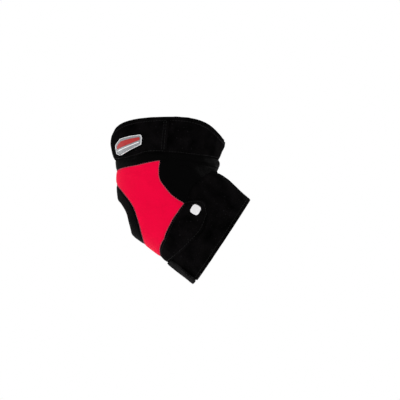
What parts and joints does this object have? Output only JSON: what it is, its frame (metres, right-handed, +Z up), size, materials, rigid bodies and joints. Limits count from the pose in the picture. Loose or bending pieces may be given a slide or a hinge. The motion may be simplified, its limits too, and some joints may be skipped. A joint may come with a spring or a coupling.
{
  "type": "elbow brace",
  "caption": "Elbow support shaped for a bent arm: neoprene sleeve with a ringed opening at the point of the elbow, wrap straps round upper arm and forearm, and a plain badge",
  "frame": {"origin": "the middle of the bent elbow, on the arm's centre line, where the arm holds the brace up", "axes": "+X from the point of the elbow to the inner elbow and the forearm, +Y across the arm to the side without the badge, +Z up along the upper arm"},
  "size_m": [0.1411, 0.1026, 0.1664],
  "materials": {
    "black_neoprene": "matte black knit face over neoprene foam",
    "red_neoprene": "bright red fine knit face over neoprene foam",
    "loop_cloth": "black brushed loop cloth with a short fuzzy pile",
    "badge_grey": "grey moulded rubber-like plastic",
    "badge_silver": "silver raised border",
    "badge_red": "dull red raised field",
    "white_print": "white raised rubber print"
  },
  "bodies": {
    "root": {"upper_band": "black_neoprene", "side_panel": "red_neoprene", "elbow_ring": "black_neoprene", "crease_panel_near": "black_neoprene", "crease_panel_far": "black_neoprene", "forearm_cuff": "loop_cloth", "upper_strap": "loop_cloth", "forearm_strap": "loop_cloth", "under_flap": "loop_cloth", "badge_plate": "badge_grey", "badge_rim": "badge_silver", "badge_bar": "badge_red", "strap_mark": "white_print"}
  },
  "joints": []
}
